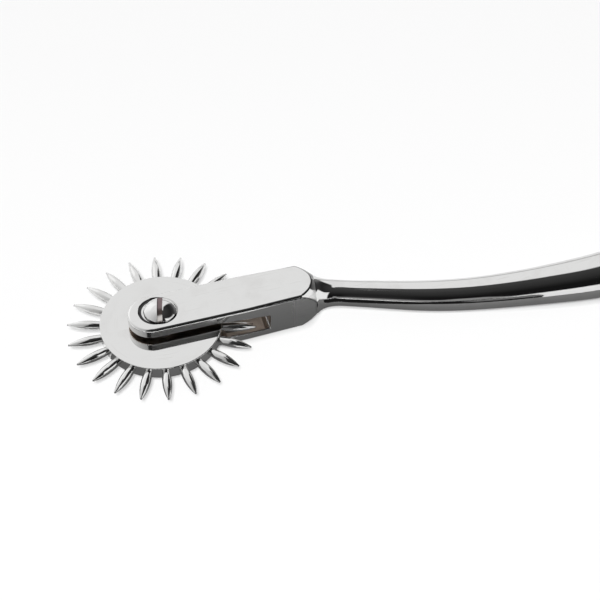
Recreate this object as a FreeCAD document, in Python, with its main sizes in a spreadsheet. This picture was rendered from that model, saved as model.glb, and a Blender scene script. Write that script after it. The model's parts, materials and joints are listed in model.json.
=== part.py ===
import FreeCAD, Part
import Sketcher
import math
import os
import re

# Pinwheel with a slotted square head, a bent round handle and a wheel of 22 needles.
# Millimetres. The origin is where the wheel's axis meets the plane of the head's underside.
# +X runs from the wheel to the handle, +Z along the wheel's axis.

SIZES = (
    # wheel
    ("wheel_radius", 11.0),
    ("disc_thickness", 2.5),
    ("disc_edge_round", 0.12),
    ("needle_length", 6.0),
    ("needle_neck_radius", 0.72),
    ("needle_belly_radius", 0.85),
    ("needle_tip_radius", 0.2),
    ("needle_tang_length", 3.0),
    # square head
    ("bar_width", 8.6),
    ("bar_height", 8.3),
    ("bar_edge_round", 0.6),
    ("nose_reach", 5.9),
    ("waist_narrowing", 0.5),
    ("waist_length", 13.7),
    ("root_gap", 2.2),
    ("block_length", 9.3),
    ("slot_height", 4.3),
    ("slot_lead", 2.0),
    ("slot_root_above", 1.0),
    ("slot_root_below", 2.4),
    ("slot_corner_round", 0.3),
    ("slot_edge_round", 0.2),
    # turned rear end of the head
    ("turned_length", 6.9),
    ("turned_start_margin", 0.43),
    ("turned_arc_radius", 11.3),
    ("seam_radius", 3.67),
    # pivot
    ("recess_radius", 3.0),
    ("recess_depth", 1.3),
    ("recess_chamfer", 0.2),
    ("relief_radius", 3.0),
    ("relief_depth", 0.25),
    ("relief_shift", 0.7),
    ("relief_drift", 0.2),
    ("screw_head_radius", 2.9),
    ("screw_crown_rise", 1.55),
    ("screw_dome_height", 1.3),
    ("screw_rim_round", 0.15),
    ("shoulder_radius", 1.8),
    ("thread_radius", 1.5),
    ("driver_slot_width", 0.95),
    ("driver_slot_depth", 1.35),
    ("washer_radius", 2.9),
    # fits
    ("running_clearance", 0.05),
    ("fixed_clearance", 0.02),
    ("press_clearance", 0.01),
    ("end_float", 0.05),
    # handle
    ("handle_length", 144.0),
    ("handle_bow", 11.5),
    ("handle_belly_radius", 5.0),
    ("spigot_radius", 2.0),
    ("spigot_length", 5.0),
    # one overrun for every cut
    ("cut_overrun", 1.0),
)

NEEDLE_COUNT = 22
WHEEL_PHASE_DEG = -1.0
DRIVER_SLOT_DEG = 76.0
# how far the head's turned end and the start of the handle point sideways
SEAM_HEADING_DEG = 8.6

# marks an arc that bulges into its outline
HOLLOW = "hollow"
# two lengths in millimetres that differ by less than this are the same
SAME_LENGTH = 1e-6

# where each needle is thickest, along the length that stands out of the rim
NEEDLE_BELLY_SHARE = 0.33
# roundness of the needle's two flanks, towards the rim and towards the tip,
# as arc radii over the length that stands out
NEEDLE_FLANK_SHARES = (2.60, 1.90)

# handle stations: along its length, sideways along its bow, radius over the belly's radius,
# and how far the belly's extra radius lifts the centre, so that the underside stays level;
# the first one takes its radius from the seam with the head
NECK_STATIONS = 5
HANDLE_SHARES = (
    (0.0000, 0.0496, 0.000, 0.0),
    (0.0069, 0.0600, 0.606, 0.0),
    (0.0139, 0.0739, 0.536, 0.0),
    (0.0222, 0.0983, 0.492, 0.0),
    (0.0333, 0.1374, 0.478, 0.0),
    (0.0494, 0.2150, 0.476, 0.0),
    (0.0694, 0.3020, 0.498, 0.0),
    (0.0954, 0.4180, 0.520, 0.0),
    (0.1244, 0.5450, 0.550, 0.0),
    (0.1544, 0.6530, 0.575, 0.0),
    (0.1854, 0.7420, 0.593, 0.0),
    (0.2164, 0.8070, 0.620, 0.0),
    (0.2484, 0.8590, 0.655, 0.0),
    (0.2814, 0.9030, 0.700, 0.0),
    (0.3144, 0.9380, 0.755, 0.0),
    (0.3484, 0.9650, 0.815, 0.2),
    (0.3914, 0.9850, 0.885, 0.9),
    (0.4514, 1.0000, 0.960, 1.0),
    (0.5214, 1.0000, 1.000, 1.0),
    (0.6014, 0.9850, 0.985, 1.0),
    (0.7014, 0.9500, 0.925, 1.0),
    (0.8014, 0.8950, 0.845, 0.9),
    (0.9014, 0.8250, 0.770, 0.3),
    (1.0000, 0.7450, 0.720, 0.0),
)

# places that follow from the sizes
NEEDLE_TIP = "(wheel_radius + needle_length)"
BAR_CORNER = "((bar_width ^ 2 + bar_height ^ 2) ^ 0.5 / 2)"
NOSE_CENTRE = "(bar_width / 2 - nose_reach)"
SLOT_ROOT = f"({NEEDLE_TIP} + root_gap)"
SEAM = f"({SLOT_ROOT} + block_length)"
SEAM_SIDE = f"(0 - handle_bow * {HANDLE_SHARES[0][1]})"
SLOT_TAPER_START = "(wheel_radius - slot_lead)"
RECESS_FLOOR = "(bar_height / 2 - recess_depth)"
CROWN = "(bar_height / 2 + screw_crown_rise)"
SCREW_RIM = f"({CROWN} - screw_dome_height)"
BORE_RADIUS = "(shoulder_radius + running_clearance)"
WASHER_THICKNESS = "(slot_height / 2 - disc_thickness / 2 - end_float)"

document = FreeCAD.newDocument("pinwheel")
sheet = document.addObject("Spreadsheet::Sheet", "Sizes")
for row, (name, number) in enumerate(SIZES, start=1):
    sheet.set(f"A{row}", name)
    sheet.set(f"B{row}", str(number))
    sheet.setAlias(f"B{row}", name)
document.recompute()


def bound(formula):
    """A formula in size names, as an expression that reads the sheet."""
    return re.sub(r"[a-z][a-z_]+", lambda word: "Sizes." + word.group(0), formula)


def value(formula):
    return float(sheet.evalExpression(bound(formula)))


def new_body(label):
    body = document.addObject("PartDesign::Body", label)
    body.Label = label
    return body


def new_sketch(body, name, plane, normal="0", across="0", upwards="0", turn=FreeCAD.Rotation()):
    """A sketch on one of the body's own planes, moved within it and along its normal."""
    sketch = body.newObject("Sketcher::SketchObject", name)
    origin_plane = [item for item in body.Origin.OriginFeatures if item.Role == plane][0]
    sketch.AttachmentSupport = (origin_plane, "")
    sketch.MapMode = "FlatFace"
    sketch.AttachmentOffset = FreeCAD.Placement(FreeCAD.Vector(), turn)
    for direction, formula in (("x", across), ("y", upwards), ("z", normal)):
        sketch.setExpression(f"AttachmentOffset.Base.{direction}", bound(formula))
    return sketch


def bind_last(sketch, formula):
    """Bind the constraint that was added last to a formula."""
    sketch.setExpression(f"Constraints[{sketch.ConstraintCount - 1}]", bound(formula))


def pin_point(sketch, edge, end, across, along):
    for kind, formula in (("DistanceX", across), ("DistanceY", along)):
        sketch.addConstraint(Sketcher.Constraint(kind, edge, end, value(formula)))
        bind_last(sketch, formula)


def circle(sketch, radius):
    """A circle about the sketch's origin."""
    normal = FreeCAD.Vector(0, 0, 1)
    edge = sketch.addGeometry(Part.Circle(FreeCAD.Vector(), normal, value(radius)), False)
    sketch.addConstraint(Sketcher.Constraint("Coincident", edge, 3, -1, 1))
    sketch.addConstraint(Sketcher.Constraint("Radius", edge, value(radius)))
    bind_last(sketch, radius)


def outline(sketch, points):
    """A closed outline, counterclockwise. Each point is (x, y) or (x, y, radius) or
    (x, y, radius, HOLLOW): with a radius, the edge that arrives there is an arc that bulges
    outwards, or inwards if it is hollow."""
    places = [FreeCAD.Vector(value(point[0]), value(point[1]), 0) for point in points]
    edges = []
    for index, point in enumerate(points):
        start, end = places[index - 1], places[index]
        hollow = HOLLOW in point
        if len(point) == 2:
            edge = sketch.addGeometry(Part.LineSegment(start, end), False)
        else:
            ends = (end, start) if hollow else (start, end)
            edge = sketch.addGeometry(arc_between(*ends, value(point[2])), False)
            sketch.addConstraint(Sketcher.Constraint("Radius", edge, value(point[2])))
            bind_last(sketch, point[2])
        edges.append((edge, 2, 1) if hollow else (edge, 1, 2))
    for index, point in enumerate(points):
        edge, _, last = edges[index]
        following, first, _ = edges[(index + 1) % len(edges)]
        sketch.addConstraint(Sketcher.Constraint("Coincident", edge, last, following, first))
        pin_point(sketch, edge, last, point[0], point[1])


def arc_between(start, end, radius):
    chord = end - start
    rise = math.sqrt(max(0.0, radius ** 2 - chord.Length ** 2 / 4))
    left = FreeCAD.Vector(-chord.y, chord.x, 0).normalize()
    centre = (start + end) / 2 + left * rise
    angles = [math.atan2(point.y - centre.y, point.x - centre.x) for point in (start, end)]
    return Part.ArcOfCircle(Part.Circle(centre, FreeCAD.Vector(0, 0, 1), radius), *angles)


def pad(body, name, sketch, length, midplane=False, reverse=False):
    feature = body.newObject("PartDesign::Pad", name)
    feature.Profile = sketch
    feature.setExpression("Length", bound(length))
    feature.Midplane = midplane
    feature.Reversed = reverse
    document.recompute()
    return feature


def pocket(body, name, sketch, depth, midplane=False):
    """A cut against the sketch's normal, or both ways from its plane."""
    feature = body.newObject("PartDesign::Pocket", name)
    feature.Profile = sketch
    feature.setExpression("Length", bound(depth))
    feature.Midplane = midplane
    document.recompute()
    return feature


def turned(body, name, kind, sketch, axis):
    feature = body.newObject("PartDesign::" + kind, name)
    feature.Profile = sketch
    feature.ReferenceAxis = (sketch, [axis])
    feature.Angle = 360.0
    document.recompute()
    return feature


def edges_where(feature, wanted):
    return [f"Edge{number}" for number, edge in enumerate(feature.Shape.Edges, start=1) if wanted(edge)]


def eased(body, name, kind, base, wanted, size):
    """A fillet or a chamfer on the wanted edges."""
    feature = body.newObject("PartDesign::" + kind, name)
    feature.Base = (base, edges_where(base, wanted))
    feature.setExpression("Radius" if kind == "Fillet" else "Size", bound(size))
    document.recompute()
    return feature


def place(body, across="0", lift="bar_height / 2", turn_deg=0.0):
    body.Placement = FreeCAD.Placement(FreeCAD.Vector(), FreeCAD.Rotation(turn_deg, 0, 0))
    body.setExpression("Placement.Base.x", bound(across))
    body.setExpression("Placement.Base.z", bound(lift))


def sideways(heading_deg):
    """Turn of a sketch that stands across the rod where the rod points sideways."""
    return FreeCAD.Rotation(FreeCAD.Vector(0, 1, 0), -heading_deg)


def is_round(edge):
    return not edge.Degenerated and isinstance(edge.Curve, Part.Circle)


def same(one, other):
    return abs(one - other) < SAME_LENGTH


def lies_at(edge, height, along="z"):
    return all(same(getattr(vertex, along.upper()), height) for vertex in edge.Vertexes)


def fork_head():
    """Square bar, slotted for the wheel, with a round nose and a rear end turned along the handle."""
    body = new_body("fork_head")
    plan = new_sketch(body, "head_plan", "XY_Plane")
    outline(plan, (
        ("0 - nose_reach", "0", "bar_width / 2"),
        (NOSE_CENTRE, "0 - bar_width / 2", "bar_width / 2"),
        (f"{SEAM} - waist_length", "0 - bar_width / 2"),
        (f"{SEAM} + cut_overrun", "waist_narrowing - bar_width / 2"),
        (f"{SEAM} + cut_overrun", "bar_width / 2 - waist_narrowing"),
        (f"{SEAM} - waist_length", "bar_width / 2"),
        (NOSE_CENTRE, "bar_width / 2"),
    ))
    pad(body, "head_bar", plan, "bar_height", midplane=True)
    end_profile = new_sketch(body, "head_end_profile", "XY_Plane", across=SEAM, upwards=SEAM_SIDE,
                             turn=FreeCAD.Rotation(-SEAM_HEADING_DEG, 0, 0))
    outline(end_profile, (
        ("0 - turned_length", "bar_width"),
        ("0 - turned_length", f"{BAR_CORNER} + turned_start_margin"),
        ("0", "seam_radius", "turned_arc_radius", HOLLOW),
        ("0", "0"),
        ("2 * cut_overrun", "0"),
        ("2 * cut_overrun", "bar_width"),
    ))
    blank = turned(body, "head_end", "Groove", end_profile, "H_Axis")
    half_height = value("bar_height / 2")

    def on_the_outside(edge):
        level = lies_at(edge, half_height) or lies_at(edge, -half_height)
        return level or isinstance(edge.Curve, Part.BSplineCurve)

    eased(body, "head_edges", "Fillet", blank, on_the_outside, "bar_edge_round")
    slot_profile = new_sketch(body, "slot_profile", "XZ_Plane")
    outline(slot_profile, (
        ("0 - nose_reach - cut_overrun", "0 - slot_height / 2"),
        (SLOT_TAPER_START, "0 - slot_height / 2"),
        (SLOT_ROOT, "0 - slot_root_below"),
        (SLOT_ROOT, "slot_root_above"),
        (SLOT_TAPER_START, "slot_height / 2"),
        ("0 - nose_reach - cut_overrun", "slot_height / 2"),
    ))
    slot = pocket(body, "slot", slot_profile, "bar_width + 2 * cut_overrun", midplane=True)
    root = value(SLOT_ROOT)
    cornered = eased(body, "slot_corners", "Fillet", slot,
                     lambda edge: lies_at(edge, root, "x") and same(edge.BoundBox.ZLength, 0),
                     "slot_corner_round")
    below = value("slot_root_below")

    def on_the_slot_rim(edge):
        box = edge.BoundBox
        across = same(box.XLength, 0) and same(box.ZLength, 0)
        inside = box.ZMin > -below - SAME_LENGTH and box.ZMax < below + SAME_LENGTH
        return inside and not across and box.XMax < root + SAME_LENGTH

    eased(body, "slot_edges", "Fillet", cornered, on_the_slot_rim, "slot_edge_round")
    recess_plan = new_sketch(body, "recess_plan", "XY_Plane", "bar_height / 2")
    circle(recess_plan, "recess_radius")
    pocket(body, "recess", recess_plan, "recess_depth")
    shoulder_plan = new_sketch(body, "shoulder_plan", "XY_Plane", "bar_height / 2")
    circle(shoulder_plan, BORE_RADIUS)
    bored = pocket(body, "shoulder_hole", shoulder_plan, "bar_height / 2")
    recess_radius = value("recess_radius")
    eased(body, "recess_edge", "Chamfer", bored,
          lambda edge: is_round(edge) and lies_at(edge, half_height)
          and same(edge.Curve.Radius, recess_radius), "recess_chamfer")
    relief_profile = new_sketch(body, "relief_profile", "XZ_Plane", "0 - relief_drift", "0 - relief_shift")
    outline(relief_profile, (
        ("0", "bar_height / 2 - relief_depth"),
        ("relief_radius", "bar_height / 2 - relief_depth"),
        ("relief_radius + relief_depth + cut_overrun", "bar_height / 2 + cut_overrun"),
        ("0", "bar_height / 2 + cut_overrun"),
    ))
    turned(body, "relief", "Groove", relief_profile, "V_Axis")
    thread_plan = new_sketch(body, "thread_plan", "XY_Plane")
    circle(thread_plan, "thread_radius + fixed_clearance")
    pocket(body, "thread_hole", thread_plan, "bar_height / 2 + cut_overrun")
    socket_plan = new_sketch(body, "socket_plan", "YZ_Plane", SEAM, SEAM_SIDE,
                             turn=sideways(SEAM_HEADING_DEG))
    circle(socket_plan, "spigot_radius + fixed_clearance")
    pocket(body, "spigot_socket", socket_plan, "spigot_length + fixed_clearance")
    place(body)
    return body


def handle():
    """Round rod, bent sideways behind the head, with a spigot in the head's socket."""
    body = new_body("handle")
    rings = []
    for index, (along, aside, radius, rise) in enumerate(HANDLE_SHARES):
        station = {
            "normal": f"handle_length * {along}",
            "across": f"0 - handle_bow * {aside}",
            "upwards": f"(handle_belly_radius * {radius} - bar_height / 2) * {rise}",
            "turn": sideways(rod_heading(index)),
        }
        ring = new_sketch(body, f"ring_{index:02d}", "YZ_Plane", **station)
        circle(ring, f"handle_belly_radius * {radius}" if index else "seam_radius")
        rings.append(ring)
    document.recompute()
    neck_end = NECK_STATIONS - 1
    for name, stretch in (("neck", rings[:NECK_STATIONS]), ("rod", rings[neck_end:])):
        loft = body.newObject("PartDesign::AdditiveLoft", name)
        loft.Profile = stretch[0]
        loft.Sections = stretch[1:]
        document.recompute()
    along, aside, radius, rise = HANDLE_SHARES[-1]
    end_radius = f"(handle_belly_radius * {radius})"
    cap_profile = new_sketch(
        body, "cap_profile", "XY_Plane", across=f"handle_length * {along}",
        upwards=f"0 - handle_bow * {aside}", normal=f"({end_radius} - bar_height / 2) * {rise}",
        turn=FreeCAD.Rotation(-rod_heading(len(HANDLE_SHARES) - 1), 0, 0))
    outline(cap_profile, (("0", "0"), (end_radius, "0"), ("0", end_radius, end_radius)))
    turned(body, "cap", "Revolution", cap_profile, "H_Axis")
    spigot_plan = new_sketch(body, "spigot_plan", "YZ_Plane", across=SEAM_SIDE,
                             turn=sideways(SEAM_HEADING_DEG))
    circle(spigot_plan, "spigot_radius")
    pad(body, "spigot", spigot_plan, "spigot_length", reverse=True)
    place(body, SEAM)
    return body


def rod_heading(index):
    """How far the rod has turned sideways at a station, in degrees."""
    if index == 0:
        return SEAM_HEADING_DEG
    before = HANDLE_SHARES[index - 1]
    after = HANDLE_SHARES[min(index + 1, len(HANDLE_SHARES) - 1)]
    run = value(f"handle_length * {after[0] - before[0]}")
    drift = value(f"handle_bow * {after[1] - before[1]}")
    return math.degrees(math.atan2(drift, run))


def pivot_screw():
    """Slotted screw with a domed head, a smooth shoulder for the wheel and a thread below it."""
    body = new_body("pivot_screw")
    profile = new_sketch(body, "screw_profile", "XZ_Plane")
    crown_curve = "((screw_head_radius ^ 2 + screw_dome_height ^ 2) / (2 * screw_dome_height))"
    outline(profile, (
        ("0", CROWN, crown_curve),
        ("0", "0 - bar_height / 2"),
        ("thread_radius", "0 - bar_height / 2"),
        ("thread_radius", "0 - slot_height / 2"),
        ("shoulder_radius", "0 - slot_height / 2"),
        ("shoulder_radius", RECESS_FLOOR),
        ("screw_head_radius", RECESS_FLOOR),
        ("screw_head_radius", SCREW_RIM),
    ))
    blank = turned(body, "screw_blank", "Revolution", profile, "V_Axis")
    rim_height, rim_radius = value(SCREW_RIM), value("screw_head_radius")
    eased(body, "screw_rim", "Fillet", blank,
          lambda edge: is_round(edge) and lies_at(edge, rim_height)
          and same(edge.Curve.Radius, rim_radius), "screw_rim_round")
    slot_plan = new_sketch(body, "driver_slot_plan", "XY_Plane", CROWN)
    outline(slot_plan, (
        ("0 - recess_radius", "0 - driver_slot_width / 2"),
        ("recess_radius", "0 - driver_slot_width / 2"),
        ("recess_radius", "driver_slot_width / 2"),
        ("0 - recess_radius", "driver_slot_width / 2"),
    ))
    pocket(body, "driver_slot", slot_plan, "driver_slot_depth")
    place(body, turn_deg=DRIVER_SLOT_DEG)
    return body


def spacer_washer(label, underside):
    """Ring between a jaw and the disc, loose on the screw's shoulder."""
    body = new_body(label)
    plan = new_sketch(body, label + "_plan", "XY_Plane", underside)
    circle(plan, "washer_radius")
    circle(plan, BORE_RADIUS)
    pad(body, label + "_ring", plan, WASHER_THICKNESS)
    place(body)
    return body


def wheel_disc():
    """Disc that turns on the screw's shoulder, with a radial hole for each needle."""
    body = new_body("wheel_disc")
    profile = new_sketch(body, "disc_profile", "XZ_Plane")
    outline(profile, (
        (BORE_RADIUS, "0 - disc_thickness / 2"),
        ("wheel_radius - disc_edge_round", "0 - disc_thickness / 2"),
        ("wheel_radius", "0 - disc_thickness / 2 + disc_edge_round", "disc_edge_round"),
        ("wheel_radius", "disc_thickness / 2 - disc_edge_round"),
        ("wheel_radius - disc_edge_round", "disc_thickness / 2", "disc_edge_round"),
        (BORE_RADIUS, "disc_thickness / 2"),
    ))
    turned(body, "disc", "Revolution", profile, "V_Axis")
    hole_plan = new_sketch(body, "needle_hole_plan", "YZ_Plane", "wheel_radius + cut_overrun")
    circle(hole_plan, "needle_neck_radius + press_clearance")
    hole = pocket(body, "needle_hole", hole_plan, "needle_tang_length + press_clearance + cut_overrun")
    ring = body.newObject("PartDesign::PolarPattern", "needle_holes")
    ring.Originals = [hole]
    ring.Axis = (profile, ["V_Axis"])
    ring.Angle = 360.0
    ring.Occurrences = NEEDLE_COUNT
    body.Tip = ring
    document.recompute()
    place(body, turn_deg=WHEEL_PHASE_DEG)
    return body


def needle(number):
    """Spindle-shaped needle with a straight tang, turned about its own length."""
    label = f"needle_{number:02d}"
    body = new_body(label)
    profile = new_sketch(body, label + "_profile", "XY_Plane")
    belly = f"(wheel_radius + needle_length * {NEEDLE_BELLY_SHARE})"
    outline(profile, (
        ("wheel_radius - needle_tang_length", "0"),
        (NEEDLE_TIP, "0"),
        (f"{NEEDLE_TIP} - needle_tip_radius", "needle_tip_radius", "needle_tip_radius"),
        (belly, "needle_belly_radius", f"needle_length * {NEEDLE_FLANK_SHARES[1]}"),
        ("wheel_radius", "needle_neck_radius", f"needle_length * {NEEDLE_FLANK_SHARES[0]}"),
        ("wheel_radius - needle_tang_length", "needle_neck_radius"),
    ))
    turned(body, label + "_spindle", "Revolution", profile, "H_Axis")
    place(body, turn_deg=WHEEL_PHASE_DEG + (number - 1) * 360.0 / NEEDLE_COUNT)
    return body


pieces = [
    fork_head(),
    handle(),
    pivot_screw(),
    spacer_washer("upper_spacer_washer", "disc_thickness / 2 + end_float"),
    spacer_washer("lower_spacer_washer", "0 - slot_height / 2"),
    wheel_disc(),
]
pieces += [needle(number) for number in range(1, NEEDLE_COUNT + 1)]
document.recompute()

for item in document.Objects:
    if {"Invalid", "Error"} & set(item.State):
        raise RuntimeError(f"{item.Label} failed: {item.State}")
for piece in pieces:
    if piece.Shape.isNull() or not piece.Shape.isValid():
        raise RuntimeError(f"{piece.Label} has no valid shape")

os.makedirs("parts", exist_ok=True)
for piece in pieces:
    piece.Shape.exportStep(f"parts/{piece.Label}.step")
    box = piece.Shape.BoundBox
    print(f"{piece.Label}: {len(piece.Shape.Solids)} solid, {piece.Shape.Volume:.2f} mm3, "
          f"x {box.XMin:.2f} to {box.XMax:.2f}, y {box.YMin:.2f} to {box.YMax:.2f}, "
          f"z {box.ZMin:.2f} to {box.ZMax:.2f}")
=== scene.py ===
import bpy
import json
import math
from mathutils import Matrix, Vector


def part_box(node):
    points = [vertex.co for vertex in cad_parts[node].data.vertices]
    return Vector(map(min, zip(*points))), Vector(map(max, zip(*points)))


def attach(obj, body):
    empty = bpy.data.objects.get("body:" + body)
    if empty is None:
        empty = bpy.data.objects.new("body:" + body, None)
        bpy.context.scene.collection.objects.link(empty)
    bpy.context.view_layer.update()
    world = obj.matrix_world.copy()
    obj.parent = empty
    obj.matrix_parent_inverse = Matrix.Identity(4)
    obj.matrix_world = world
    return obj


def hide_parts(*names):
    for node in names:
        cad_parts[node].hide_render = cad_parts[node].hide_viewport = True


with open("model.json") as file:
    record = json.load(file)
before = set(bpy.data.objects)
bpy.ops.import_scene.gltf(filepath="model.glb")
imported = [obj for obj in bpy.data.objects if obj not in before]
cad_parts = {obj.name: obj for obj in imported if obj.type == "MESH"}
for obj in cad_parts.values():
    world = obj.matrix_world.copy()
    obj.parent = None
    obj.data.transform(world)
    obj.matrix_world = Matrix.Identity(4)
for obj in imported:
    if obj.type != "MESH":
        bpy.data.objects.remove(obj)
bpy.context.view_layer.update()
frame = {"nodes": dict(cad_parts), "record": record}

MM = 0.001

# camera, worked out from the needle tips and the disc's edges
VIEW_TARGET = Vector((25.643, -1.146, 4.15)) * MM
VIEW_AZIMUTH = math.radians(-16.85)
VIEW_ELEVATION = math.radians(48.142)
VIEW_ROLL = math.radians(0.106)
VIEW_DISTANCE = 291.716 * MM
LENS_MM = 96.0
NEAREST_SEEN = 10 * MM

# soft lamp a little above the camera, with its power in watts
LAMP_TARGET = Vector((30, 0, 0)) * MM
LAMP_AZIMUTH = VIEW_AZIMUTH
LAMP_ELEVATION = math.radians(54.0)
LAMP_DISTANCE = 1500 * MM
LAMP_SIZE = 200 * MM
LAMP_POWER = 29.0

# rod of the handle, in millimetres: distance behind the head, sideways, radius and lift
SEAM_MM = (28.5, 4.15)
SEAM_HEADING = math.radians(8.6)
SPIGOT_MM = (5.0, 2.0)
ROD_MM = (
    (0.0, 0.57, 3.67, 0.0), (1.0, 0.69, 3.03, 0.0), (2.0, 0.85, 2.68, 0.0), (3.2, 1.13, 2.46, 0.0),
    (4.8, 1.58, 2.39, 0.0), (7.1, 2.47, 2.38, 0.0), (10.0, 3.47, 2.49, 0.0), (13.7, 4.81, 2.60, 0.0),
    (17.9, 6.27, 2.75, 0.0), (22.2, 7.51, 2.88, 0.0), (26.7, 8.53, 2.97, 0.0), (31.2, 9.28, 3.10, 0.0),
    (35.8, 9.88, 3.28, 0.0), (40.5, 10.38, 3.50, 0.0), (45.3, 10.79, 3.78, 0.0), (50.2, 11.10, 4.08, 0.0),
    (56.4, 11.33, 4.43, 0.25), (65.0, 11.50, 4.80, 0.65), (75.1, 11.50, 5.00, 0.85),
    (86.6, 11.33, 4.93, 0.78), (101.0, 10.93, 4.63, 0.48), (115.4, 10.29, 4.23, 0.07),
    (129.8, 9.49, 3.85, -0.09), (144.0, 8.57, 3.60, 0.0),
)
ROD_SIDES = 64
RINGS_A_SPAN = 6
CAP_RINGS = 10
SAME_HEADING = 1e-7
SMOOTH_ANGLE = math.radians(40)

# places of the head's finishes and of its painted shade, in millimetres from the wheel's axis. Most pairs
# fade a finish or the shade in from the first number to the second. A drop is measured down from the head's
# top, and an inset from its side.
SLOT_END_MM = 19.4
SLOT_RIM_MM = 0.22
SLOT_MARGIN_MM = 0.05
# painted shade on the outer side of the relief beside the screw, measured from this centre
RELIEF_CENTRE_MM = (-0.7, 0.2)
RELIEF_SHADE_INNER_MM = (2.60, 2.68)
RELIEF_SHADE_OUTER_MM = (3.30, 3.26)
RELIEF_SHADE_TOP_DROP_MM = (0.03, 0.05)
RELIEF_SHADE_FLOOR_DROP_MM = (0.35, 0.30)
# painted shade on the far side of the turned end
FAR_END_ALONG_MM = (23.6, 24.6)
FAR_END_ASIDE_MM = (-1.2, 0.8)
FAR_END_DROP_MM = (0.01, 0.07)
NEAR_END_ALONG_MM = (22.0, 24.5)
NEAR_END_ASIDE_MM = (-1.8, -2.8)
NEAR_END_DROP_MM = (0.5, 1.0)
NEAR_END_INSET_MM = (0.01, 0.12)
BRUSHED_ALONG_MM = (-2.9, 11.5)
BRUSHED_FADE_MM = (11.5, 7.5)
BRUSHED_INSET_MM = 0.15
BRUSHED_RISE_MM = 0.3
BRUSHED_DROP_MM = 0.6

# places of the other finishes and of the painted shade and highlight in the driver slot, in millimetres.
# Along the driver slot they are shares of its half length.
DRIVER_SLOT_TURN = math.radians(76.0)
DRIVER_SLOT_HALF_MM = (2.9, 0.485)
DRIVER_SLOT_REACH_MM = 4.0
DRIVER_SLOT_DROP_MM = (0.03, 1.38)
# painted shade in the driver slot fades to its lit tone over the first pair, and a painted highlight shows
# between the next two
LIT_SHARES = (-0.10, 0.25)
HIGHLIGHT_START_SHARES = (-1.0, -0.80)
HIGHLIGHT_END_SHARES = (-0.35, -0.60)
TIP_DARKER_MM = (0.30, 0.05)
TIP_GRIND_START_MM = 12.3
TIP_GRIND_PER_METRE = 26.0
WAY_ROUND_RADIUS_MM = 5.0
MASK_EDGE_MM = 0.01
MASK_OVERRUN = 1 * MM

# fine marks to a metre: along, across and up, or outward, round and up on turned pieces
HEAD_GRAIN = (400, 9000, 9000)
SLOT_GRAIN = (3000, 400, 6000)
JAW_GRAIN = (90, 5000, 5000)
HANDLE_GRAIN = (500, 8000, 8000)
RING_GRAIN = (9000, 500, 500)
SCREW_GRAIN = (6000, 500, 500)
NEEDLE_GRAIN = (7000, 600, 600)
SMUDGE_GRAIN = 260.0
DRIVER_SLOT_GRAIN = 1500.0

# strength of the marks, and the range of noise in which each kind shows
SCRATCH_STRETCH = 0.35
SCRATCH_NOISE = (0.72, 0.78)
SMUDGE_NOISE = (0.45, 0.75)
MARK_WEIGHT = 0.3
MARK_RELIEF = 0.5
WEAR_ROUGHNESS = 0.10
SAWN_RELIEF = 12.0
NOISE_MIDDLE = 0.5
STREAK_SHARE = 0.4
FINE_DEPTH_MM = 0.002

# tones of the finishes, and of the painted shade and highlight
STEEL = (0.72, 0.72, 0.715, 1)
DULL_STEEL = (0.60, 0.59, 0.58, 1)
TURNED_STEEL = (0.56, 0.55, 0.53, 1)
CUT_STEEL = (0.42, 0.35, 0.30, 1)
DRIVER_SLOT_STEEL = (0.20, 0.155, 0.16, 1)
# painted shade and painted highlight in the driver slot
DRIVER_SLOT_SHADE = (0.06, 0.048, 0.045, 1)
DRIVER_SLOT_HIGHLIGHT = (0.62, 0.60, 0.58, 1)
# painted shade in the relief beside the screw
RELIEF_SHADE = (0.05, 0.05, 0.05, 1)
TIP_STEEL = (0.30, 0.30, 0.30, 1)
# painted shade on the far side of the turned end
FAR_END_SHADE = (0.16, 0.16, 0.16, 1)
WHITE = (1, 1, 1, 1)

# roughness of the finishes
POLISHED = 0.05
BUFFED = 0.06
SAWN = 0.30
TURNED = 0.28
DRIVER_SLOT_ROUGHNESS = 0.28
TIP_ROUGHNESS = 0.25
NEAR_END_ROUGHNESS = 0.32
BRUSHED_ROUGHNESS = (0.22, 0.35)

# floor with its painted contact shadow, the painted shadow strip and cards
FLOOR_SIZE = 4.0
FLOOR_GREY = 0.8
FLOOR_FAR = (0.25, 0.8)
FLOOR_LIFT = 0.5
FLOOR_GLOSSY_LIFT = 0.12
# painted contact shadow on the floor: its reach from the tool, and its tones from touching to clear
CONTACT_REACH = 1.3 * MM
CONTACT_SHADE_TONES = ((0.0, 0.2), (1.0, 1.0))
STRIP_HEIGHT_MM = 0.02
CARD_HEIGHT_MM = 0.03
PALING_MM = 20
# tones of the painted shadow strip as it pales
STRIP_SHADOW_TONES = ((0.0, 0.135), (0.2, 0.165), (0.5, 0.23), (0.8, 0.27), (1.0, 0.40))
DARK_CARD_TONE = 0.012
GREY_CARD_TONE = 0.18
# painted shadow of the tool on the table, seen only in the steel's front: place, edge under the tool, far
# edge and where the shadow starts to pale
STRIP_MM = (
    (-40, -2, -24, -11), (6, -2, -24, -11), (9, -3, -13, -5), (28, -3, -12.5, -4), (31, -1.5, -9.2, -2),
    (32, -1.5, -8.6, -2), (34, -2, -9.8, -3), (37.3, -2, -12.4, -3), (40.6, -3, -16.8, -4),
    (44.6, -4, -22.3, -5), (50, -5, -23.6, -6), (62, -7, -23.0, -8), (69, -7, -22.7, -9),
    (100, -7, -24, -10), (180, -6, -24, -10),
)
# outlines of the cards on the table beyond the strip
DARK_CARD_MM = (
    (22, -15), (29, -12.8), (31, -9.2), (32, -8.6), (34, -9.8), (37.3, -12.4), (40.6, -16.8), (44.6, -22.3),
    (50, -23.6), (62, -23.0), (69, -22.7), (70, -29), (56, -33), (50, -48), (56, -600), (-60, -600),
    (8, -110), (14, -42), (21, -35),
)
GREY_CARD_MM = ((56, -33), (70, -29), (74, -110), (60, -600), (56, -600), (50, -48))

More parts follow.
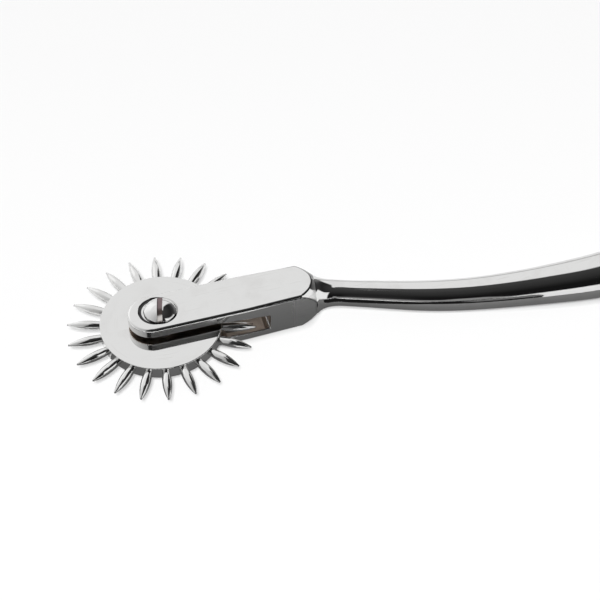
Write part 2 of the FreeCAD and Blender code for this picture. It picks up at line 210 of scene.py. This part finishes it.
# surroundings that the steel sees, in degrees: azimuth to the right of straight behind the tool, height
# above the table, and facing to the left of straight in front. A fade runs from 0 at its first number to
# 1 at its second. The ceiling's values are distances aside as shares of its height over the tool.
# The wall's tones stand at shares of a full turn from straight in front, the others at shares of a
# right angle above the table.
FULL_TURN = 360.0
HALF_TURN = 180.0
RIGHT_ANGLE = 90.0
WALL_RIGHT_EDGE = 41.0
WALL_LEAN_START = 55.0
WALL_LEAN = 0.09
WALL_RIGHT_FADE = (-4.0, 3.0)
WALL_LEFT_FADE = (-136.0, -142.0)
CEILING_SHIFT = 0.05
CEILING_FADE = (0.178, 0.148)
LEAST_RISE = 0.05
WALL_TONES = ((0.10, 0.45), (0.18, 0.62), (0.29, 0.86), (0.35, 0.97), (0.40, 1.0), (0.60, 1.0))
GLOW_AZIMUTH = -28.0
GLOW_ASIDE_FADE = (32.0, 8.0)
GLOW_HEIGHT_FADE = (46.0, 34.0)
GLOW_TONE = 1.25
LOW_RIGHT_AZIMUTH_FADE = (4.0, 14.0)
LOW_RIGHT_HEIGHT_FADE = (13.0, 6.0)
LOW_RIGHT_SHARE = 0.8
LOW_RIGHT_TONE = 0.5
SIDE_TONES = (
    (0.0, 0.26), (0.09, 0.19), (0.16, 0.12), (0.20, 0.07), (0.25, 0.042), (0.42, 0.022), (0.56, 0.032),
    (0.83, 0.053), (1.0, 0.075),
)
FRONT_TONES = (
    (0.0, 0.013), (0.10, 0.009), (0.33, 0.010), (0.45, 0.020), (0.60, 0.036), (0.75, 0.045), (1.0, 0.075),
)
FRONT_FADE = (30.0, 14.0)
SILL_HEIGHT = 17.0
SILL_LEFT_FADE = (6.0, 11.0)
SILL_LEFT_DROP = 5.0
SILL_RIGHT_FADE = (1.0, -3.0)
SILL_RIGHT_DROP = 14.0
SILL_FADE = (1.5, -1.5)
SILL_SIDE_FADE = (32.0, 26.0)
SILL_RIGHT_END_FADE = (-13.0, -9.0)
OVER_CARD_HEIGHT_FADE = (0.5, 4.0)
OVER_CARD_RIGHT_FADE = (0.0, -4.0)
SILL_TONE_FADE = (-5.0, 0.0)
SILL_RIGHT_TONE = 0.85
SILL_LEFT_TONE = 0.30
WINDOW_LEFT_FADE = (92.0, 97.0)
WINDOW_RIGHT_FADE = (160.0, 154.0)
WINDOW_TOP_AZIMUTH = 95.0
WINDOW_TOP_HEIGHT = 23.0
WINDOW_TOP_SLOPE = 0.38
WINDOW_TOP_FADE = (2.0, -3.0)
WINDOW_TONE = 1.1
SKY_STRENGTH = 0.2


def grey(tone):
    return tone, tone, tone, 1


def feed(tree, node, inputs):
    """Gives each input, by name or number, a value or another node's output."""
    for socket, source in inputs.items():
        if isinstance(source, bpy.types.NodeSocket):
            tree.links.new(source, node.inputs[socket])
        else:
            node.inputs[socket].default_value = source
    return node


def add_node(tree, kind, inputs=None, **settings):
    node = tree.nodes.new("ShaderNode" + kind)
    for name, setting in settings.items():
        setattr(node, name, setting)
    return feed(tree, node, inputs or {})


def add_group(tree, group, **inputs):
    """Outputs of a node group."""
    node = tree.nodes.new("ShaderNodeGroup")
    node.node_tree = group
    return feed(tree, node, inputs).outputs


def calc(tree, operation, first, *others):
    """One term changed by a math operation, or several joined by it from left to right."""
    if not others:
        return add_node(tree, "Math", {0: first}, operation=operation).outputs[0]
    for term in others:
        first = add_node(tree, "Math", {0: first, 1: term}, operation=operation).outputs[0]
    return first


def vector_calc(tree, operation, first, second):
    return add_node(tree, "VectorMath", {0: first, 1: second}, operation=operation).outputs[0]


def split(tree, vector):
    return add_node(tree, "SeparateXYZ", {0: vector}).outputs


def long_side(tree, x, y):
    """Longest side of a right triangle with the short sides x and y."""
    return calc(tree, "SQRT", calc(tree, "ADD", calc(tree, "MULTIPLY", x, x), calc(tree, "MULTIPLY", y, y)))


def noise(tree, vector, scale, detail):
    return add_node(tree, "TexNoise", {"Vector": vector, "Scale": scale, "Detail": detail}).outputs[0]


def step(tree, value, start, end):
    """0 at start, 1 at end, smooth between them and level beyond them. Start may lie above end."""
    inputs = {"Value": value, "From Min": start, "From Max": end}
    return add_node(tree, "MapRange", inputs, interpolation_type="SMOOTHSTEP").outputs[0]


def step_mm(tree, value, start_mm, end_mm):
    return step(tree, value, start_mm * MM, end_mm * MM)


def mix(tree, share, low, high):
    """A number between two numbers."""
    return add_node(tree, "Mix", {0: share, 2: low, 3: high}).outputs[0]


def blend(tree, share, low, high):
    """A colour between two colours."""
    return add_node(tree, "Mix", {0: share, 6: low, 7: high}, data_type="RGBA").outputs[2]


def ramp(tree, value, stops):
    """Greys at places between 0 and 1."""
    node = add_node(tree, "ValToRGB", {0: value})
    elements = node.color_ramp.elements
    while len(elements) < len(stops):
        elements.new(0.5)
    for element, (position, tone) in zip(elements, stops):
        element.position = position
        element.color = grey(tone)
    return node.outputs[0]


def new_group(name, inputs, outputs):
    tree = bpy.data.node_groups.new(name, "ShaderNodeTree")
    for socket, kind in inputs:
        tree.interface.new_socket(socket, in_out="INPUT", socket_type="NodeSocket" + kind)
    for socket, kind in outputs:
        tree.interface.new_socket(socket, in_out="OUTPUT", socket_type="NodeSocket" + kind)
    return tree, tree.nodes.new("NodeGroupInput").outputs, tree.nodes.new("NodeGroupOutput").inputs


def polish_group():
    """Marks that polishing and handling leave on steel: hairlines, scratches and smudges."""
    tree, given, result = new_group(
        "polish_marks",
        (("Vector", "Vector"), ("Grain", "Vector"), ("Roughness", "Float"), ("Marks", "Float")),
        (("Roughness", "Float"), ("Height", "Float"), ("Dulling", "Float")),
    )
    along = vector_calc(tree, "MULTIPLY", given["Vector"], given["Grain"])
    hairline = noise(tree, along, scale=1.0, detail=3.0)
    scratch = step(tree, noise(tree, along, scale=SCRATCH_STRETCH, detail=0.0), *SCRATCH_NOISE)
    scratch = calc(tree, "MULTIPLY", scratch, MARK_WEIGHT)
    smudge = step(tree, noise(tree, given["Vector"], scale=SMUDGE_GRAIN, detail=4.0), *SMUDGE_NOISE)
    smudge = calc(tree, "MULTIPLY", smudge, MARK_WEIGHT)
    wear = calc(tree, "MULTIPLY", calc(tree, "MAXIMUM", scratch, smudge), given["Marks"])
    roughness = calc(tree, "ADD", given["Roughness"], calc(tree, "MULTIPLY", wear, WEAR_ROUGHNESS))
    height = calc(tree, "SUBTRACT", calc(tree, "MULTIPLY", hairline, MARK_RELIEF),
                  calc(tree, "MULTIPLY", scratch, MARK_RELIEF))
    tree.links.new(roughness, result["Roughness"])
    tree.links.new(calc(tree, "MULTIPLY", height, given["Marks"]), result["Height"])
    tree.links.new(wear, result["Dulling"])
    return tree


def box_group():
    """Mask of the points inside a box, with soft edges."""
    tree, given, result = new_group(
        "inside_box", (("Vector", "Vector"), ("Low", "Vector"), ("High", "Vector")), (("Mask", "Float"),))
    above = vector_calc(tree, "SUBTRACT", given["Vector"], given["Low"])
    below = vector_calc(tree, "SUBTRACT", given["High"], given["Vector"])
    depths = split(tree, vector_calc(tree, "MINIMUM", above, below))
    mask = step_mm(tree, calc(tree, "MINIMUM", *depths), -MASK_EDGE_MM, MASK_EDGE_MM)
    tree.links.new(mask, result["Mask"])
    return tree


def turning_group():
    """Coordinates of a piece turned on the wheel's axis: distance from the axis, way round it and height."""
    tree, given, result = new_group(
        "turning", (("Vector", "Vector"),), (("Vector", "Vector"), ("Radius", "Float")))
    x, y, z = split(tree, given["Vector"])
    radius = long_side(tree, x, y)
    round_way = calc(tree, "MULTIPLY", calc(tree, "ARCTAN2", y, x), WAY_ROUND_RADIUS_MM * MM)
    turned = add_node(tree, "CombineXYZ", {0: radius, 1: round_way, 2: z}).outputs[0]
    tree.links.new(turned, result["Vector"])
    tree.links.new(radius, result["Radius"])
    return tree


def new_steel(name):
    """A metal material, with its node tree, its shader and its object coordinates."""
    material = bpy.data.materials.new(name)
    material.use_nodes = True
    tree = material.node_tree
    shader = tree.nodes["Principled BSDF"]
    shader.inputs["Metallic"].default_value = 1.0
    place = add_node(tree, "TexCoord").outputs["Object"]
    return material, tree, shader, place


def finish_steel(tree, shader, colour, roughness, height, depth_mm=FINE_DEPTH_MM, form=None):
    """Form is a coarser height in metres, laid under the fine marks."""
    marks = {"Height": height, "Strength": 1.0, "Distance": depth_mm * MM}
    if form is not None:
        coarse = {"Height": form, "Strength": 1.0, "Distance": 1.0}
        marks["Normal"] = add_node(tree, "Bump", coarse).outputs[0]
    normal = add_node(tree, "Bump", marks).outputs[0]
    feed(tree, shader, {"Base Color": colour, "Roughness": roughness, "Normal": normal})


def slot_mask(tree, groups, place):
    """Inside of the wheel's slot, without the polished rim along its edges."""
    low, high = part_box("fork_head")
    slot_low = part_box("lower_spacer_washer")[0].z
    slot_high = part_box("upper_spacer_washer")[1].z
    margin = SLOT_MARGIN_MM * MM
    rim = SLOT_RIM_MM * MM
    return add_group(tree, groups["box"], Vector=place,
                     Low=(low.x - MASK_OVERRUN, low.y + rim, slot_low - margin),
                     High=(SLOT_END_MM * MM, high.y - rim, slot_high + margin))["Mask"]


def relief_shade_mask(tree, x, y, drop):
    """Painted shade on the outer side of the shallow relief beside the screw."""
    centre_x, centre_y = (size * MM for size in RELIEF_CENTRE_MM)
    reach = long_side(tree, calc(tree, "SUBTRACT", x, centre_x), calc(tree, "SUBTRACT", y, centre_y))
    return calc(tree, "MULTIPLY",
                step_mm(tree, reach, *RELIEF_SHADE_INNER_MM), step_mm(tree, reach, *RELIEF_SHADE_OUTER_MM),
                step_mm(tree, drop, *RELIEF_SHADE_TOP_DROP_MM), step_mm(tree, drop, *RELIEF_SHADE_FLOOR_DROP_MM))


def far_end_shade_mask(tree, x, y, drop):
    """Painted shade on the far side of the turned end, below the flat top."""
    return calc(tree, "MULTIPLY", step_mm(tree, x, *FAR_END_ALONG_MM), step_mm(tree, y, *FAR_END_ASIDE_MM),
                step_mm(tree, drop, *FAR_END_DROP_MM))


def near_end_mask(tree, x, y, drop):
    """Near side of the turned end, behind the flat side of the bar."""
    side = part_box("fork_head")[0].y
    inset = calc(tree, "SUBTRACT", y, side)
    return calc(tree, "MULTIPLY", step_mm(tree, x, *NEAR_END_ALONG_MM), step_mm(tree, y, *NEAR_END_ASIDE_MM),
                step_mm(tree, drop, *NEAR_END_DROP_MM), step_mm(tree, inset, *NEAR_END_INSET_MM))


def brushed_mask(tree, groups, place, x):
    """Near sides of the jaws, beside the disc."""
    low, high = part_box("fork_head")
    start, end = (size * MM for size in BRUSHED_ALONG_MM)
    inside = add_group(tree, groups["box"], Vector=place,
                       Low=(start, low.y - MASK_OVERRUN, low.z + BRUSHED_RISE_MM * MM),
                       High=(end, low.y + BRUSHED_INSET_MM * MM, high.z - BRUSHED_DROP_MM * MM))["Mask"]
    return calc(tree, "MULTIPLY", inside, step_mm(tree, x, *BRUSHED_FADE_MM))


def make_head_steel(groups):
    """Polished outside, brushed beside the disc, sawn and left dull in the slot; painted shade beside the
    screw and at the far end.
    """
    material, tree, shader, place = new_steel("polished_head_steel")
    polish = add_group(tree, groups["polish"], Vector=place, Grain=HEAD_GRAIN,
                       Roughness=POLISHED, Marks=1.0)
    sawn = add_group(tree, groups["polish"], Vector=place, Grain=SLOT_GRAIN,
                     Roughness=SAWN, Marks=1.6)
    x, y, z = split(tree, place)
    drop = calc(tree, "SUBTRACT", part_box("fork_head")[1].z, z)
    inside = slot_mask(tree, groups, place)

    colour = blend(tree, inside, blend(tree, polish["Dulling"], STEEL, DULL_STEEL), CUT_STEEL)
    # painted shade on the outer side of the relief beside the screw
    colour = blend(tree, relief_shade_mask(tree, x, y, drop), colour, RELIEF_SHADE)
    # painted shade on the far side of the turned end
    colour = blend(tree, far_end_shade_mask(tree, x, y, drop), colour, FAR_END_SHADE)

    roughness = mix(tree, inside, polish["Roughness"], sawn["Roughness"])
    streaks = noise(tree, vector_calc(tree, "MULTIPLY", place, JAW_GRAIN), scale=1.0, detail=2.0)
    least, spread = BRUSHED_ROUGHNESS
    brushed = calc(tree, "ADD", least, calc(tree, "MULTIPLY", streaks, spread))
    roughness = mix(tree, brushed_mask(tree, groups, place, x), roughness, brushed)
    roughness = mix(tree, near_end_mask(tree, x, y, drop), roughness, NEAR_END_ROUGHNESS)

    height = mix(tree, inside, polish["Height"], calc(tree, "MULTIPLY", sawn["Height"], SAWN_RELIEF))
    finish_steel(tree, shader, colour, roughness, height)
    return material


def make_handle_steel(groups):
    material, tree, shader, place = new_steel("polished_handle_steel")
    polish = add_group(tree, groups["polish"], Vector=place, Grain=HANDLE_GRAIN,
                       Roughness=POLISHED, Marks=1.0)
    colour = blend(tree, polish["Dulling"], STEEL, DULL_STEEL)
    finish_steel(tree, shader, colour, polish["Roughness"], polish["Height"])
    return material


def make_turned_steel(groups, name, tone, roughness, marks, depth_mm):
    """Steel with fine rings about the wheel's axis."""
    material, tree, shader, place = new_steel(name)
    turning = add_group(tree, groups["turning"], Vector=place)
    polish = add_group(tree, groups["polish"], Vector=turning["Vector"], Grain=RING_GRAIN,
                       Roughness=roughness, Marks=marks)
    colour = blend(tree, polish["Dulling"], tone, DULL_STEEL)
    finish_steel(tree, shader, colour, polish["Roughness"], polish["Height"], depth_mm)
    return material


def driver_slot_tone(tree, groups, place):
    """Mask and colour of the driver slot: painted shade at one end, with a painted highlight near that end.
    """
    turned = add_node(tree, "Mapping", {"Vector": place, "Rotation": (0, 0, DRIVER_SLOT_TURN)},
                      vector_type="TEXTURE").outputs[0]
    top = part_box("pivot_screw")[1].z
    half_length, half_width = (size * MM for size in DRIVER_SLOT_HALF_MM)
    upper_drop, lower_drop = (size * MM for size in DRIVER_SLOT_DROP_MM)
    reach = DRIVER_SLOT_REACH_MM * MM
    inside = add_group(tree, groups["box"], Vector=turned, Low=(-reach, -half_width, top - lower_drop),
                       High=(reach, half_width, top - upper_drop))["Mask"]
    share = calc(tree, "DIVIDE", split(tree, turned)[0], half_length)
    streaks = noise(tree, turned, scale=DRIVER_SLOT_GRAIN, detail=2.0)
    streaks = calc(tree, "SUBTRACT", streaks, NOISE_MIDDLE)
    share = calc(tree, "ADD", share, calc(tree, "MULTIPLY", streaks, STREAK_SHARE))
    # painted shade at one end of the driver slot, with a painted highlight near that end
    tone = blend(tree, step(tree, share, *LIT_SHARES), DRIVER_SLOT_SHADE, DRIVER_SLOT_STEEL)
    slot_highlight = calc(tree, "MULTIPLY", step(tree, share, *HIGHLIGHT_END_SHARES), step(tree, share, *HIGHLIGHT_START_SHARES))
    return inside, blend(tree, slot_highlight, tone, DRIVER_SLOT_HIGHLIGHT)


def make_screw_steel(groups):
    """Polished head, with a dull driver slot that holds painted shade and a painted highlight."""
    material, tree, shader, place = new_steel("screw_steel")
    turning = add_group(tree, groups["turning"], Vector=place)
    polish = add_group(tree, groups["polish"], Vector=turning["Vector"], Grain=SCREW_GRAIN,
                       Roughness=BUFFED, Marks=1.0)
    inside, slot_tone = driver_slot_tone(tree, groups, place)
    colour = blend(tree, inside, blend(tree, polish["Dulling"], STEEL, DULL_STEEL), slot_tone)
    roughness = mix(tree, inside, polish["Roughness"], DRIVER_SLOT_ROUGHNESS)
    finish_steel(tree, shader, colour, roughness, polish["Height"], depth_mm=0.003)
    return material


def make_needle_steel(groups):
    """Ringed about the wheel's axis and ground a little steeper toward the tip, which is darker and rougher.
    """
    material, tree, shader, place = new_steel("needle_steel")
    turning = add_group(tree, groups["turning"], Vector=place)
    polish = add_group(tree, groups["polish"], Vector=turning["Vector"], Grain=NEEDLE_GRAIN,
                       Roughness=BUFFED, Marks=1.0)
    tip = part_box("needle_01")[1].x
    dull_start, dull_end = (tip - size * MM for size in TIP_DARKER_MM)
    darker_rougher_tip = step(tree, turning["Radius"], dull_start, dull_end)
    colour = blend(tree, darker_rougher_tip, blend(tree, polish["Dulling"], STEEL, DULL_STEEL), TIP_STEEL)
    roughness = mix(tree, darker_rougher_tip, polish["Roughness"], TIP_ROUGHNESS)
    outward = calc(tree, "SUBTRACT", turning["Radius"], TIP_GRIND_START_MM * MM)
    outward = calc(tree, "MAXIMUM", outward, 0.0)
    ground = calc(tree, "MULTIPLY", outward, outward, -TIP_GRIND_PER_METRE)
    finish_steel(tree, shader, colour, roughness, polish["Height"], form=ground)
    return material


def smooth_curve(points, spans):
    """Points on a smooth curve close to the given ones, from the first to the last."""
    chain = [points[0] * 2 - points[1], *points, points[-1] * 2 - points[-2]]
    made = []
    for index in range(len(points) - 1):
        before, start, end, after = chain[index:index + 4]
        for number in range(spans):
            u = number / spans
            made.append((before * (1 - u) ** 3 + start * (3 * u ** 3 - 6 * u ** 2 + 4)
                         + end * (-3 * u ** 3 + 3 * u ** 2 + 3 * u + 1) + after * u ** 3) / 6)
    return made + [points[-1]]


def level_direction(heading):
    """Direction along the table, turned from +X toward -Y by the heading."""
    return Vector((math.cos(heading), -math.sin(heading), 0))


def move_ring(ring, centre, radius, heading):
    """Extrudes the selected ring to a new centre, radius and heading."""
    old_centre, old_radius, old_heading = ring
    bpy.ops.mesh.extrude_region_move(TRANSFORM_OT_translate={"value": centre - old_centre})
    if abs(heading - old_heading) > SAME_HEADING:
        bpy.ops.transform.rotate(value=heading - old_heading, orient_axis="Z", center_override=centre)
    grow = radius / old_radius
    bpy.ops.transform.resize(value=(grow, grow, grow), center_override=centre)
    return centre, radius, heading


def make_handle():
    """The bent rod as one smooth skin, from its spigot in the head to its round end."""
    seam_x, axis_height = SEAM_MM
    points = [Vector((seam_x + along, -aside, axis_height + lift, radius)) * MM
              for along, aside, radius, lift in ROD_MM]
    course = smooth_curve(points, RINGS_A_SPAN)
    depth, spigot_radius = (size * MM for size in SPIGOT_MM)
    seam = course[0].to_3d()
    spigot_end = seam - level_direction(SEAM_HEADING) * depth
    bpy.ops.object.select_all(action="DESELECT")
    bpy.ops.mesh.primitive_circle_add(
        vertices=ROD_SIDES, radius=spigot_radius, fill_type="NGON",
        location=spigot_end, rotation=(0, math.pi / 2, -SEAM_HEADING))
    rod = bpy.context.object
    rod.name = "handle_rod"
    bpy.ops.object.mode_set(mode="EDIT")
    ring = (spigot_end, spigot_radius, SEAM_HEADING)
    ring = move_ring(ring, seam, spigot_radius, SEAM_HEADING)
    ring = move_ring(ring, seam, course[0].w, SEAM_HEADING)
    for number in range(1, len(course)):
        run = course[min(number + 1, len(course) - 1)] - course[number - 1]
        ring = move_ring(ring, course[number].to_3d(), course[number].w, math.atan2(-run.y, run.x))
    end, end_radius, heading = ring
    ahead = level_direction(heading)
    for number in range(1, CAP_RINGS):
        angle = math.pi / 2 * number / CAP_RINGS
        centre = end + ahead * end_radius * math.sin(angle)
        ring = move_ring(ring, centre, end_radius * math.cos(angle), heading)
    bpy.ops.mesh.merge(type="CENTER")
    bpy.ops.mesh.select_all(action="SELECT")
    bpy.ops.mesh.normals_make_consistent(inside=False)
    bpy.ops.object.mode_set(mode="OBJECT")
    bpy.ops.object.transform_apply(location=True, rotation=True, scale=True)
    bpy.ops.object.shade_smooth_by_angle(angle=SMOOTH_ANGLE)
    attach(rod, "grip")
    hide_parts("handle")
    return rod


def finish_pieces():
    groups = {"polish": polish_group(), "box": box_group(), "turning": turning_group()}
    finishes = {
        "head_steel": make_head_steel(groups),
        "handle_steel": make_handle_steel(groups),
        "screw_steel": make_screw_steel(groups),
        "washer_steel": make_turned_steel(
            groups, "turned_washer_steel", TURNED_STEEL, TURNED, marks=1.5, depth_mm=0.02),
        "disc_steel": make_turned_steel(
            groups, "polished_disc_steel", STEEL, POLISHED, marks=1.0, depth_mm=0.001),
        "needle_steel": make_needle_steel(groups),
    }
    for part in frame["record"]["subparts"]:
        for slot in frame["nodes"][part["node"]].material_slots:
            slot.material = finishes[part["material_slot"]]
    make_handle().data.materials.append(finishes["handle_steel"])


def direction(azimuth, elevation):
    """Direction from the tool. Azimuth 0 is in front, and it grows to the right."""
    return Vector((
        math.sin(azimuth) * math.cos(elevation),
        -math.cos(azimuth) * math.cos(elevation),
        math.sin(elevation),
    ))


def make_camera():
    toward = direction(VIEW_AZIMUTH, VIEW_ELEVATION)
    turn = (-toward).to_track_quat("-Z", "Y").to_matrix().to_4x4()
    camera = bpy.data.objects.new("camera", bpy.data.cameras.new("camera"))
    bpy.context.scene.collection.objects.link(camera)
    camera.data.lens = LENS_MM
    camera.data.clip_start = NEAREST_SEEN
    camera.matrix_world = (
        Matrix.Translation(VIEW_TARGET + toward * VIEW_DISTANCE)
        @ turn @ Matrix.Rotation(VIEW_ROLL, 4, "Z")
    )
    bpy.context.scene.camera = camera


def make_lamp():
    """Square lamp aimed at the tool, unseen by the steel."""
    light = bpy.data.lights.new("front_lamp", "AREA")
    light.size = LAMP_SIZE
    light.energy = LAMP_POWER
    lamp = bpy.data.objects.new("front_lamp", light)
    bpy.context.scene.collection.objects.link(lamp)
    toward = direction(LAMP_AZIMUTH, LAMP_ELEVATION)
    lamp.location = LAMP_TARGET + toward * LAMP_DISTANCE
    lamp.rotation_euler = (-toward).to_track_quat("-Z", "Y").to_euler()
    lamp.visible_glossy = False


def new_plane(name, size=1.0):
    bpy.ops.object.select_all(action="DESELECT")
    bpy.ops.mesh.primitive_plane_add(size=size)
    plane = bpy.context.object
    plane.name = name
    return plane


def bare_material(name):
    """A material with an empty node tree."""
    material = bpy.data.materials.new(name)
    material.use_nodes = True
    material.node_tree.nodes.clear()
    return material, material.node_tree


def make_floor():
    """Matt white paper. The camera sees it lifted to white, with its shadows kept and a painted contact
    shadow next to the tool.
    """
    floor = new_plane("floor", FLOOR_SIZE)
    material, tree = bare_material("floor_paper")
    path = add_node(tree, "LightPath").outputs
    seen = calc(tree, "MAXIMUM", path["Is Camera Ray"], path["Is Transmission Ray"])
    # painted contact shadow next to the tool, in the white that lifts the paper
    contact_shade = add_node(tree, "AmbientOcclusion", {"Distance": CONTACT_REACH}, samples=8).outputs["AO"]
    white = add_node(tree, "Emission", {"Color": ramp(tree, contact_shade, CONTACT_SHADE_TONES)}).outputs[0]
    matt = add_node(tree, "BsdfDiffuse", {"Color": grey(FLOOR_GREY)}).outputs[0]
    place = add_node(tree, "TexCoord").outputs["Object"]
    distance = add_node(tree, "VectorMath", {0: place}, operation="LENGTH").outputs["Value"]
    lift = calc(tree, "MAXIMUM", FLOOR_LIFT, step(tree, distance, *FLOOR_FAR))
    share = calc(tree, "ADD", calc(tree, "MULTIPLY", seen, lift),
                 calc(tree, "MULTIPLY", path["Is Glossy Ray"], FLOOR_GLOSSY_LIFT))
    paper = add_node(tree, "MixShader", {0: share, 1: matt, 2: white}).outputs[0]
    add_node(tree, "OutputMaterial", {"Surface": paper})
    floor.data.materials.append(material)


def make_card(name, points_mm, height_mm, faces):
    """A flat card just above the table, shown to the steel alone. Gives its mesh and its node tree."""
    mesh = bpy.data.meshes.new(name)
    mesh.from_pydata([(x * MM, y * MM, height_mm * MM) for x, y in points_mm], [], faces)
    material, tree = bare_material(name)
    mesh.materials.append(material)
    card = new_plane(name)
    card.data = mesh
    card.visible_camera = False
    card.visible_diffuse = False
    card.visible_shadow = False
    card.visible_transmission = False
    return mesh, tree


def shine(tree, colour):
    """Makes a material shine in a colour, with no shadow on it."""
    light = add_node(tree, "Emission", {"Color": colour}).outputs[0]
    add_node(tree, "OutputMaterial", {"Surface": light})


def make_shadow_strip():
    """Painted shadow of the tool: a grey strip on the table along the tool's front, seen only in the steel,
    which pales with the distance.
    """
    count = len(STRIP_MM)
    inner_edge = [(x, inner) for x, inner, _, _ in STRIP_MM]
    outer_edge = [(x, outer) for x, _, outer, _ in STRIP_MM]
    faces = [(number, count + number, count + number + 1, number + 1) for number in range(count - 1)]
    mesh, tree = make_card("strip", inner_edge + outer_edge, STRIP_HEIGHT_MM, faces)
    starts = [start for _, _, _, start in STRIP_MM] * 2
    across = mesh.attributes.new("across", "FLOAT", "POINT")
    for point, (_, edge), start in zip(across.data, inner_edge + outer_edge, starts):
        point.value = (start - edge) / PALING_MM
    shadow_fade = add_node(tree, "Attribute", attribute_name="across").outputs["Fac"]
    # painted shadow of the tool on the table, seen only in the steel
    shine(tree, ramp(tree, shadow_fade, STRIP_SHADOW_TONES))


def make_front_cards():
    """A black and a grey card on the table beyond the strip."""
    for name, outline, tone in (
        ("dark_card", DARK_CARD_MM, DARK_CARD_TONE),
        ("grey_card", GREY_CARD_MM, GREY_CARD_TONE),
    ):
        _, tree = make_card(name, outline, CARD_HEIGHT_MM, [tuple(range(len(outline)))])
        shine(tree, grey(tone))


def room_share(tree, way, azimuth, height):
    """0 where the steel sees the wall, and 1 to the sides of the wall and overhead."""
    # the wall's right edge leans away near its top
    over = calc(tree, "MAXIMUM", calc(tree, "SUBTRACT", height, WALL_LEAN_START), 0.0)
    edge = calc(tree, "ADD", WALL_RIGHT_EDGE, calc(tree, "MULTIPLY", over, over, WALL_LEAN))
    right = step(tree, calc(tree, "SUBTRACT", azimuth, edge), *WALL_RIGHT_FADE)
    left = step(tree, azimuth, *WALL_LEFT_FADE)
    steep = calc(tree, "MAXIMUM", way[2], LEAST_RISE)
    aside = calc(tree, "SUBTRACT", calc(tree, "DIVIDE", way[0], steep), CEILING_SHIFT)
    ahead = calc(tree, "DIVIDE", way[1], steep)
    ceiling = step(tree, long_side(tree, aside, ahead), *CEILING_FADE)
    return calc(tree, "MAXIMUM", right, left, ceiling)


def wall_view(tree, azimuth, height):
    """The wall is brightest to the left of straight behind, and dimmer low down at its right end."""
    turn = calc(tree, "DIVIDE", calc(tree, "ADD", azimuth, HALF_TURN), FULL_TURN)
    from_glow = calc(tree, "ABSOLUTE", calc(tree, "SUBTRACT", azimuth, GLOW_AZIMUTH))
    bright = calc(tree, "MULTIPLY", step(tree, from_glow, *GLOW_ASIDE_FADE),
                  step(tree, height, *GLOW_HEIGHT_FADE))
    low_right = calc(tree, "MULTIPLY", step(tree, azimuth, *LOW_RIGHT_AZIMUTH_FADE),
                     step(tree, height, *LOW_RIGHT_HEIGHT_FADE), LOW_RIGHT_SHARE)
    wall = blend(tree, bright, ramp(tree, turn, WALL_TONES), grey(GLOW_TONE))
    return blend(tree, low_right, wall, grey(LOW_RIGHT_TONE))


def sill_light(tree, facing, height):
    """Mask and tone of the light low in front of the tool, below a sill that steps down to both sides."""
    left_drop = calc(tree, "MULTIPLY", step(tree, facing, *SILL_LEFT_FADE), SILL_LEFT_DROP)
    right_drop = calc(tree, "MULTIPLY", step(tree, facing, *SILL_RIGHT_FADE), SILL_RIGHT_DROP)
    sill = calc(tree, "SUBTRACT", SILL_HEIGHT, left_drop, right_drop)
    over_card = calc(tree, "MAXIMUM", step(tree, height, *OVER_CARD_HEIGHT_FADE),
                     step(tree, facing, *OVER_CARD_RIGHT_FADE))
    mask = calc(tree, "MULTIPLY",
                step(tree, calc(tree, "SUBTRACT", height, sill), *SILL_FADE),
                step(tree, calc(tree, "ABSOLUTE", facing), *SILL_SIDE_FADE),
                over_card, step(tree, facing, *SILL_RIGHT_END_FADE))
    tone = blend(tree, step(tree, facing, *SILL_TONE_FADE), grey(SILL_RIGHT_TONE), grey(SILL_LEFT_TONE))
    return mask, tone


def window_mask(tree, azimuth, height):
    """A window low at the right, whose top slants up toward the front."""
    along = calc(tree, "SUBTRACT", azimuth, WINDOW_TOP_AZIMUTH)
    top = calc(tree, "ADD", WINDOW_TOP_HEIGHT, calc(tree, "MULTIPLY", along, WINDOW_TOP_SLOPE))
    return calc(tree, "MULTIPLY",
                step(tree, azimuth, *WINDOW_LEFT_FADE), step(tree, azimuth, *WINDOW_RIGHT_FADE),
                step(tree, calc(tree, "SUBTRACT", height, top), *WINDOW_TOP_FADE))


def room_view(tree, azimuth, height):
    """The dim room to the sides of the tool and in front of it."""
    rise = calc(tree, "DIVIDE", height, RIGHT_ANGLE)
    turned = calc(tree, "MODULO", calc(tree, "ADD", azimuth, FULL_TURN), FULL_TURN)
    facing = calc(tree, "SUBTRACT", turned, HALF_TURN)
    in_front = step(tree, calc(tree, "ABSOLUTE", facing), *FRONT_FADE)
    room = blend(tree, in_front, ramp(tree, rise, SIDE_TONES), ramp(tree, rise, FRONT_TONES))
    sill, sill_tone = sill_light(tree, facing, height)
    room = blend(tree, sill, room, sill_tone)
    return blend(tree, window_mask(tree, azimuth, height), room, grey(WINDOW_TONE))


def make_world():
    """White all round for the paper. The steel sees a white wall behind the tool in a dim room."""
    world = bpy.data.worlds.new("studio")
    bpy.context.scene.world = world
    world.use_nodes = True
    tree = world.node_tree
    tree.nodes.clear()
    path = add_node(tree, "LightPath").outputs
    way = split(tree, add_node(tree, "TexCoord").outputs["Generated"])
    azimuth = calc(tree, "DEGREES", calc(tree, "ARCTAN2", way[0], way[1]))
    height = calc(tree, "DEGREES", calc(tree, "ARCSINE", way[2]))
    steel_view = blend(tree, room_share(tree, way, azimuth, height), wall_view(tree, azimuth, height),
                       room_view(tree, azimuth, height))
    colour = blend(tree, path["Is Glossy Ray"], WHITE, steel_view)
    seen = calc(tree, "MAXIMUM", path["Is Camera Ray"], path["Is Transmission Ray"], path["Is Glossy Ray"])
    strength = mix(tree, seen, SKY_STRENGTH, 1.0)
    background = add_node(tree, "Background", {"Color": colour, "Strength": strength}).outputs[0]
    add_node(tree, "OutputWorld", {"Surface": background})


finish_pieces()
make_camera()
make_floor()
make_shadow_strip()
make_front_cards()
make_world()
make_lamp()

bpy.context.scene.view_settings.view_transform = "Standard"
